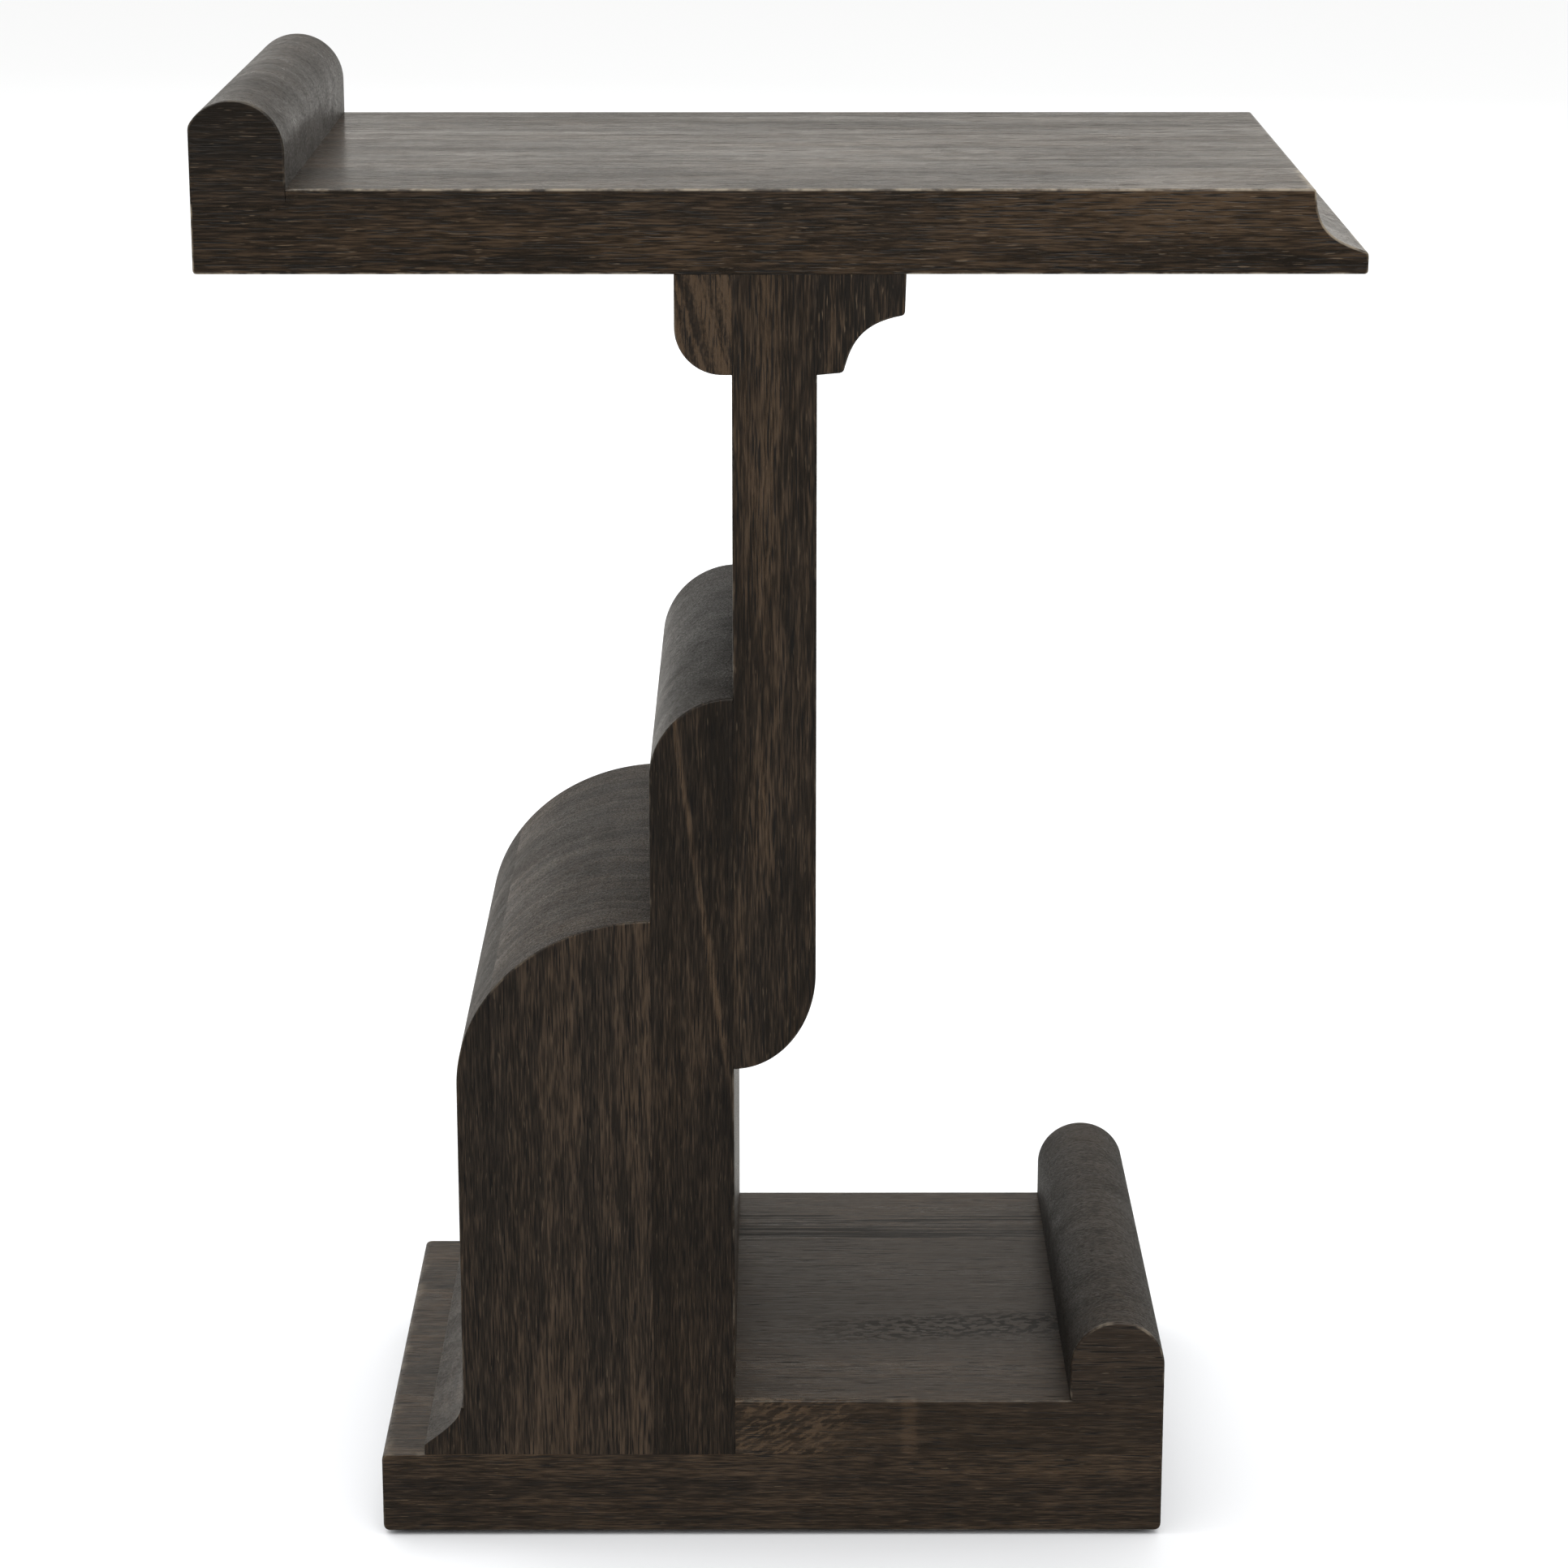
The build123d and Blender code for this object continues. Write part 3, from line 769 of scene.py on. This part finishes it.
def bracket_left_figure(g, value, x, y, z, seat):
    """Lighter brown, with slanting curls and fine specks."""
    bend = g.times(g.noise(seat, scale=CURL_SCALE), CURL_BEND)
    slant = g.add(g.times_add(x, CURL_LEAN, z), bend)
    curl = g.ramp(g.line_noise(slant, CURL_SCALE, 3.0), 0.38, 0.62)
    speck = g.ramp(g.noise(g.stretch(seat, (500.0, 900.0, 900.0)), detail=2.0), 0.40, 0.62)
    tone = g.ramp(x, BRACKET_LEFT, SEAM_X, *BRACKET_TONES)
    value = g.times_add(curl, CURL_WEIGHT, g.times_add(speck, CURL_SPECK_WEIGHT, value))
    return g.add(value, tone), None


def column_board_figure(g, value, x, y, z, seat):
    """A long light streak that slants down to the right on the front, and a faint one beside it."""
    wander = g.less(g.noise(seat, scale=9.0), 0.5)
    line = g.times_add(wander, STREAK_BEND, g.times_add(z, STREAK_LEAN, x))
    faint = g.band(line, *FAINT_STREAK, FAINT_BLUR)
    streak = g.times_add(faint, FAINT_SHARE, g.band(line, *STREAK, STREAK_BLUR))
    front = g.ramp(y, FACE_FRONT + STREAK_DEPTH[0], FACE_FRONT + STREAK_DEPTH[1], 1.0, 0.0)
    reach = g.times(g.ramp(z, *STREAK_FOOT), front)
    return g.times_add(g.times(streak, reach), STREAK_WEIGHT, value), None


def post_figure(g, value, x, y, z, seat):
    """A light wavy streak down the left half of the front."""
    bend = g.times(g.less(g.line_noise(z, POST_STREAK_WAVES), 0.5), POST_STREAK_BEND)
    left, right = (SEAM_X + edge for edge in POST_STREAK)
    streak = g.band(g.add(x, bend), left, right, POST_STREAK_BLUR)
    reach = g.times(g.ramp(z, *POST_STREAK_FOOT, 0.15, 1.0), g.ramp(z, *POST_STREAK_HEAD, 1.0, 0.5))
    return g.times_add(g.times(streak, reach), POST_STREAK_WEIGHT, value), None


def top_front_figure(g, value, x, y, z, seat):
    """The top's front: dark at its left end and foot, with a light line, and a light patch at its right."""
    left = g.ramp(x, TOP_LEFT, TOP_LEFT + TOP_END_FADE, TOP_END_DARK, 0.0)
    height = g.less(z, TOP_UNDER)
    foot = g.ramp(height, *TOP_FOOT, TOP_FOOT_DARK, 0.0)
    patch = g.times(g.band(x, *TOP_PATCH, TOP_PATCH_BLUR), g.ramp(height, *TOP_PATCH_RISE))
    line = g.band(height, *TOP_LINE, TOP_LINE_BLUR)
    value = g.add(value, g.add(left, foot))
    return g.times_add(patch, TOP_PATCH_WEIGHT, g.times_add(line, TOP_LINE_WEIGHT, value)), None


def crown_specks(g, y, seat, start, full):
    """Fine dark specks on the crown of a riser, behind its front face."""
    behind = g.ramp(y, FACE_FRONT + BEHIND_FRONT[0], FACE_FRONT + BEHIND_FRONT[1])
    fine = g.noise(g.stretch(seat, (420.0, 900.0, 700.0)), detail=3.0, roughness=0.7)
    cloud = g.noise(g.stretch(seat, (30.0, 60.0, 45.0)), detail=3.0)
    speck = g.ramp(g.times_add(cloud, 0.22, g.times(fine, 0.7)), start, full, smooth=False)
    return g.times(speck, behind)


def base_roll_figure(g, value, x, y, z, seat):
    """Mottled and a little darker on its crown."""
    behind = g.ramp(y, FACE_FRONT + BEHIND_FRONT[0], FACE_FRONT + BEHIND_FRONT[1])
    return g.times_add(behind, BASE_ROLL_DARK, value), crown_specks(g, y, seat, *BASE_ROLL_SPECKS)


def top_roll_figure(g, value, x, y, z, seat):
    """As the top below it, but darker above the joint."""
    value = g.add(value, g.ramp(x, TOP_LEFT, TOP_LEFT + TOP_END_FADE, TOP_END_DARK, 0.0))
    value = g.add(value, g.ramp(z, ROLL_FOOT, ROLL_FOOT + ROLL_JOINT_FADE, 0.0, ROLL_DARK))
    return value, crown_specks(g, y, seat, *TOP_ROLL_SPECKS)


def shelf_front_figure(g, value, x, y, z, seat):
    """Lighter curly wood at the left of the front edge, with a light band at its right end."""
    front = g.ramp(y, FACE_FRONT + CURLY_FRONT[0], FACE_FRONT + CURLY_FRONT[1], 1.0, 0.0)
    slanted = g.join(g.times_add(z, CURLY_SLANT, x), y, g.times_add(x, -CURLY_SLANT, z))
    curl = g.ramp(g.noise(g.stretch(slanted, (190.0, 500.0, 620.0)), detail=3.0), 0.44, 0.62)
    sweep = g.noise(g.stretch(slanted, (36.0, 90.0, 90.0)), detail=2.0)
    left = g.times(g.ramp(x, *CURLY_FADE, 1.0, 0.10), g.ramp(sweep, 0.36, 0.56, 0.35, 1.0))
    light = g.times(g.times(curl, left), g.ramp(x, *CURLY_END, 1.0, 0.0))
    band = g.band(x, *LIGHT_BAND, LIGHT_BAND_BLUR)
    light = g.times_add(light, CURLY_WEIGHT, g.times(band, LIGHT_BAND_WEIGHT))
    return g.times_add(light, front, value), None


def shelf_pore_figure(g, value, x, y, z, seat):
    """A dark speckled strip that fades out to the left, beside the front seam."""
    speck = g.ramp(g.noise(g.stretch(seat, (190.0, 330.0, 330.0)), detail=3.0), 0.46, 0.55)
    depth = g.less(g.less(y, FACE_FRONT), g.times(x, PIT_LEAN))
    strip = g.band(depth, *PIT_STRIP, PIT_STRIP_BLUR)
    reach = g.ramp(x, *PIT_REACH)
    return value, g.times(g.times(g.times(speck, strip), reach), PIT_DEPTH)


def shelf_streak_figure(g, value, x, y, z, seat):
    """Strong dark streaks along the board, which is a little lighter between them."""
    streak = g.noise(g.stretch(seat, (9.0, 330.0, 330.0)), detail=4.0, roughness=0.65)
    before = g.ramp(y, FACE_REAR - STREAKY_END[0], FACE_REAR - STREAKY_END[1], 1.0, 0.0)
    streak = g.times(g.ramp(streak, 0.46, 0.58), before)
    return g.add(g.less(value, streak), STREAKY_LIFT), g.times(streak, STREAKY_PITS)


# ---- The wooden pieces --------------------------------------------------------------------------
def wooden(name, outline, material, **edges):
    """One wooden piece through the whole depth."""
    dress(board(name + "_look", outline, FACE_FRONT, FACE_REAR, **edges), material, name)


def staves(prefix, outline, looks, pockets=None, **edges):
    """The edge-glued boards of a panel, front to rear."""
    for n, look in enumerate(looks):
        front, rear = FACE_FRONT + STAVE * n, FACE_FRONT + STAVE * (n + 1)
        name = f"{prefix}_{n + 1}"
        piece = board(name + "_look", outline, front, rear, n == 0, n == STAVES - 1, **edges)
        if pockets:
            cut(piece, pockets(front, rear))
        dress(piece, wood(name + "_wood", grain="X", **look), name)


def solid_middles(node):
    """The middles in X and Y of a CAD node's separate solids."""
    mesh = frame["nodes"][node].data
    parent = list(range(len(mesh.vertices)))
    at = {}
    for v in mesh.vertices:
        parent[v.index] = at.setdefault(spot(v), v.index)

    def find(i):
        while parent[i] != i:
            parent[i] = parent[parent[i]]
            i = parent[i]
        return i

    for edge in mesh.edges:
        a, b = (find(v) for v in edge.vertices)
        parent[a] = b
    groups = {}
    for v in mesh.vertices:
        groups.setdefault(find(v.index), []).append(v.co)
    return sorted(tuple((min(p[k] for p in points) + max(p[k] for p in points)) / 2 for k in (0, 1))
                  for points in groups.values())


SCREW_NODES = ("column_screws", "shelf_screws", "base_roll_screws")
SCREW_PLACES = [place for node in SCREW_NODES for place in solid_middles(node)]


def screw_pockets(front, rear):
    """Cutters for the counterbores under the plinth between two depths."""
    made = []
    for x, y in SCREW_PLACES:
        if front < y < rear:
            bm = bmesh.new()
            bmesh.ops.create_cone(bm, cap_ends=True, segments=40, radius1=POCKET_RADIUS,
                                  radius2=POCKET_RADIUS, depth=2 * POCKET_DEPTH)
            bmesh.ops.translate(bm, verts=bm.verts, vec=(x, y, PLINTH_LOW))
            mesh = bpy.data.meshes.new("pocket")
            bm.to_mesh(mesh)
            bm.free()
            cutter = bpy.data.objects.new("pocket", mesh)
            bpy.context.scene.collection.objects.link(cutter)
            made.append(cutter)
    return made


TOP_LOOKS = [
    # The front stave's high edge value paints a highlight along the top's front edge, over its wear
    dict(seed=3.1, tone=0.01, pith=(0.06, -0.66), stripes=0.8, edge=0.75, wear_and_highlight_cutoff=0.36, flecks=1.6,
         shine=0.23, figure=top_front_figure),
    dict(seed=8.7, tone=0.02, pith=(0.12, -0.60), shine=0.23),
    dict(seed=12.4, tone=0.06, pith=(-0.10, -0.68), shine=0.23),
    dict(seed=17.9, tone=-0.02, pith=(-0.16, -0.62), shine=0.25),
]
SHELF_LOOKS = [
    dict(seed=23.3, tone=0.03, pith=(0.16, -0.02), contrast=0.6, figure=shelf_front_figure),
    dict(seed=27.8, tone=-0.10, pith=(0.10, -0.12), stripes=0.5, contrast=0.35, figure=shelf_pore_figure),
    dict(seed=31.2, tone=-0.08, pith=(0.02, -0.14), stripes=0.5, contrast=0.35),
    dict(seed=36.6, tone=-0.09, pith=(-0.06, -0.10), stripes=0.8, contrast=0.5, figure=shelf_streak_figure),
]
PLINTH_LOOKS = [
    dict(seed=41.3, tone=0.08, pith=(0.16, -0.05), stripes=1.2, flecks=1.6),
    dict(seed=45.9, tone=-0.02, pith=(0.08, -0.10)),
    dict(seed=49.4, tone=0.02, pith=(-0.04, -0.12)),
    dict(seed=53.8, tone=0.00, pith=(-0.10, 0.04)),
]
PLINTH_CORNER = 3.2 * MM
COVE_EASE, COVE_FADE, COVE_CORNER = 0.25 * MM, 0.45 * MM, 0.45 * MM

staves("top_stave", top_outline(), TOP_LOOKS)
staves("shelf_stave", shelf_outline(), SHELF_LOOKS)
staves("plinth_stave", plinth_outline(), PLINTH_LOOKS, screw_pockets, corner=PLINTH_CORNER)
wooden("top_roll", top_roll_outline(),
       wood("top_roll_wood", "X", 3.1, tone=0.04, pith=(0.06, -0.66), stripes=0.8, flecks=1.4, shine=0.28,
            relief=0.6, figure=top_roll_figure))
# The base roll's edge value paints a highlight along its front arc, over its wear
wooden("base_roll", base_roll_outline(),
       wood("base_roll_wood", "X", 61.7, tone=0.02, pith=(0.18, -0.02), contrast=0.35, edge=0.45, shine=0.46,
            relief=0.8, figure=base_roll_figure))
wooden("bracket_left", bracket_left_outline(),
       wood("bracket_left_wood", "Z", 66.1, tone=0.12, contrast=0.8, figure=bracket_left_figure))
wooden("bracket_right", bracket_right_outline(),
       wood("bracket_right_wood", "Z", 70.5, tone=-0.08, flecks=2.4, contrast=1.7))
wooden("post", post_outline(),
       wood("post_wood", "Z", 74.9, tone=-0.09, pith=(0.2, 0.03), figure=post_figure))
wooden("column_board", column_board_outline(),
       wood("column_board_wood", "Z", 79.6, tone=-0.22, pith=(0.16, 0.06), shine=0.36, relief=0.8,
            figure=column_board_figure))
wooden("column_block", column_block_outline(),
       wood("column_block_wood", "Z", 83.2, tone=0.14, pith=(0.2, 0.12), stripes=1.5, shine=0.46, relief=0.8))
wooden("column_facing", column_facing_outline(),
       wood("column_facing_wood", "Z", 88.4, tone=-0.18, pith=(0.2, 0.16), shine=0.46, relief=0.8))
wooden("base_cove", base_cove_outline(), wood("base_cove_wood", "Z", 92.3, tone=-0.04),
       ease=COVE_EASE, fade=COVE_FADE, corner=COVE_CORNER)


# ---- Metal, felt and dowels ---------------------------------------------------------------------
def metal(name, colour, spotted, roughness):
    """Plated steel, with a brushed grain and dull spots."""
    material, g = new_material(name)
    place = g.place()
    grain = g.noise(g.stretch(place, (900.0, 900.0, 5200.0)), detail=3.0)
    cloud = g.ramp(g.noise(place, scale=420.0, detail=4.0, roughness=0.65), 0.45, 0.68)
    rough = g.times_add(cloud, 0.25, g.times_add(grain, 0.12, roughness))
    g.surface(g.mix(g.times(cloud, 0.6), colour, spotted), rough, grain, 0.2, 0.05 * MM)
    set_shader(material, "Metallic", 1.0)
    return material


def felt(name):
    """Dense brown felt."""
    material, g = new_material(name)
    place = g.place()
    fluff = g.noise(place, scale=1500.0, detail=5.0, roughness=0.75)
    cloud = g.noise(place, scale=160.0, detail=3.0)
    colour = g.mix(g.ramp(fluff, 0.3, 0.7), rgb(52, 41, 32), rgb(104, 86, 68))
    colour = g.mix(g.ramp(cloud, 0.35, 0.7, 0.0, 0.4), colour, rgb(44, 36, 30))
    g.surface(colour, g.ramp(fluff, 0.2, 0.8, 0.88, 1.0), fluff, 0.7, 0.3 * MM)
    return material


def dowel_wood(name):
    """Plain pale hardwood with fine grain."""
    material, g = new_material(name)
    place = g.place()
    grain = g.noise(g.stretch(place, (600.0, 600.0, 60.0)), detail=4.0, roughness=0.6)
    cloud = g.noise(place, scale=60.0, detail=2.0)
    colour = g.mix(g.ramp(grain, 0.3, 0.7), rgb(168, 132, 92), rgb(204, 172, 128))
    colour = g.mix(g.ramp(cloud, 0.4, 0.7, 0.0, 0.4), colour, rgb(150, 116, 80))
    g.surface(colour, g.ramp(grain, 0.2, 0.8, 0.55, 0.75), grain, 0.25, 0.2 * MM)
    return material


CAD_MATERIALS = {
    "dowels": dowel_wood("dowel_wood"),
    "screws": metal("screw_steel", rgb(96, 92, 84), rgb(60, 54, 46), 0.34),
    "washers": metal("washer_steel", rgb(170, 168, 160), rgb(110, 104, 94), 0.30),
    "nails": metal("nail_steel", rgb(150, 146, 136), rgb(92, 84, 72), 0.32),
    "glides": felt("glide_felt"),
}
for name, node in frame["nodes"].items():
    kind = name.split("_")[-1]
    if kind in CAD_MATERIALS:
        node.data.materials.clear()
        node.data.materials.append(CAD_MATERIALS[kind])


# ---- Floor, light and camera --------------------------------------------------------------------
FLOOR_COLOUR = (0.90, 0.92, 0.965, 1.0)
FLOOR_ROUGHNESS = 0.9
ROOM_FRONT, ROOM_BACK, ROOM_TOP, ROOM_SKIRT = 0.20, 0.22, 1.85, 0.80
ROOM_SEEN = 0.95
ROOM_TINT = (1.0, 0.98, 0.93, 1.0)
WHITE = (1.0, 1.0, 1.0, 1.0)
LIGHT_TARGET = (0, 0, 0.3)

# Name, place, size in metres, power in watts, and whether it shows in glossy surfaces
LIGHTS = [
    ("key", (-1.6, 1.5, 3.2), 2.4, 30.0, True),
    ("left_fill", (-3.6, -0.2, 1.9), 2.0, 36.0, False),
    ("right_fill", (3.6, -0.2, 1.9), 2.0, 36.0, False),
    ("rear_fill", (0.6, 3.6, 2.6), 2.2, 36.0, False),
    ("front_fill", (0.8, -3.2, 2.6), 2.5, 31.0, True),
]


def floor():
    """A large pale floor, which can be looked through from below."""
    bm = bmesh.new()
    bmesh.ops.create_grid(bm, x_segments=1, y_segments=1, size=FLOOR_HALF)
    bmesh.ops.translate(bm, verts=bm.verts, vec=(0, 0, -FLOOR_DROP))
    mesh = bpy.data.meshes.new("floor")
    bm.to_mesh(mesh)
    bm.free()
    made = bpy.data.objects.new("floor", mesh)
    bpy.context.scene.collection.objects.link(made)
    material, g = new_material("floor_paint")
    set_shader(material, "Base Color", FLOOR_COLOUR)
    set_shader(material, "Roughness", FLOOR_ROUGHNESS)
    set_shader(material, "Specular IOR Level", 0.0)
    underside = g.node("ShaderNodeNewGeometry").outputs["Backfacing"]
    paint = g.first("BSDF_PRINCIPLED").outputs[0]
    sheer = g.node("ShaderNodeBsdfTransparent").outputs[0]
    choice = g.node("ShaderNodeMixShader", {0: underside, 1: paint, 2: sheer})
    g.put(g.first("OUTPUT_MATERIAL").inputs["Surface"], choice.outputs[0])
    mesh.materials.append(material)
    made.visible_glossy = False


def world():
    """A pale room that is bright above and low behind, dimmer elsewhere, and evenly pale to the camera."""
    made = bpy.data.worlds.new("studio")
    bpy.context.scene.world = made
    made.use_nodes = True
    g = Graph(made.node_tree)
    background = g.first("BACKGROUND")
    x, y, z = g.split(g.node("ShaderNodeTexCoord").outputs["Generated"])
    walls = g.ramp(y, -0.55, 0.65, ROOM_FRONT, ROOM_BACK)
    above = g.ramp(z, 0.45, 0.95)
    skirt = g.times(g.ramp(z, 0.0, 0.32, 1.0, 0.0), g.ramp(y, 0.55, 0.95))
    light = g.add(g.times(walls, g.less(1.0, above)), g.times(above, ROOM_TOP))
    light = g.times_add(skirt, ROOM_SKIRT, light)
    seen = g.node("ShaderNodeLightPath").outputs["Is Camera Ray"]
    g.put(background.inputs["Strength"], g.times_add(g.less(ROOM_SEEN, light), seen, light))
    g.put(background.inputs["Color"], g.mix(seen, ROOM_TINT, WHITE))


def soft_light(name, place, size, power, mirrored):
    """A square area light that looks at the table."""
    data = bpy.data.lights.new(name, "AREA")
    data.shape = "SQUARE"
    data.size = size
    data.energy = power
    made = bpy.data.objects.new(name, data)
    bpy.context.scene.collection.objects.link(made)
    made.location = place
    made.visible_glossy = mirrored
    made.rotation_euler = (Vector(LIGHT_TARGET) - Vector(place)).to_track_quat("-Z", "Y").to_euler()


def camera():
    """The scene's camera."""
    data = bpy.data.cameras.new("camera")
    data.lens = CAMERA_LENS
    data.sensor_width = SENSOR_WIDTH
    made = bpy.data.objects.new("camera", data)
    bpy.context.scene.collection.objects.link(made)
    made.location = CAMERA_PLACE
    made.rotation_euler = Euler((math.radians(90 - CAMERA_PITCH), 0, math.radians(-CAMERA_YAW)), "XYZ")
    bpy.context.scene.camera = made


floor()
world()
for values in LIGHTS:
    soft_light(*values)
camera()
bpy.context.scene.view_settings.view_transform = "Standard"

bpy.context.view_layer.update()
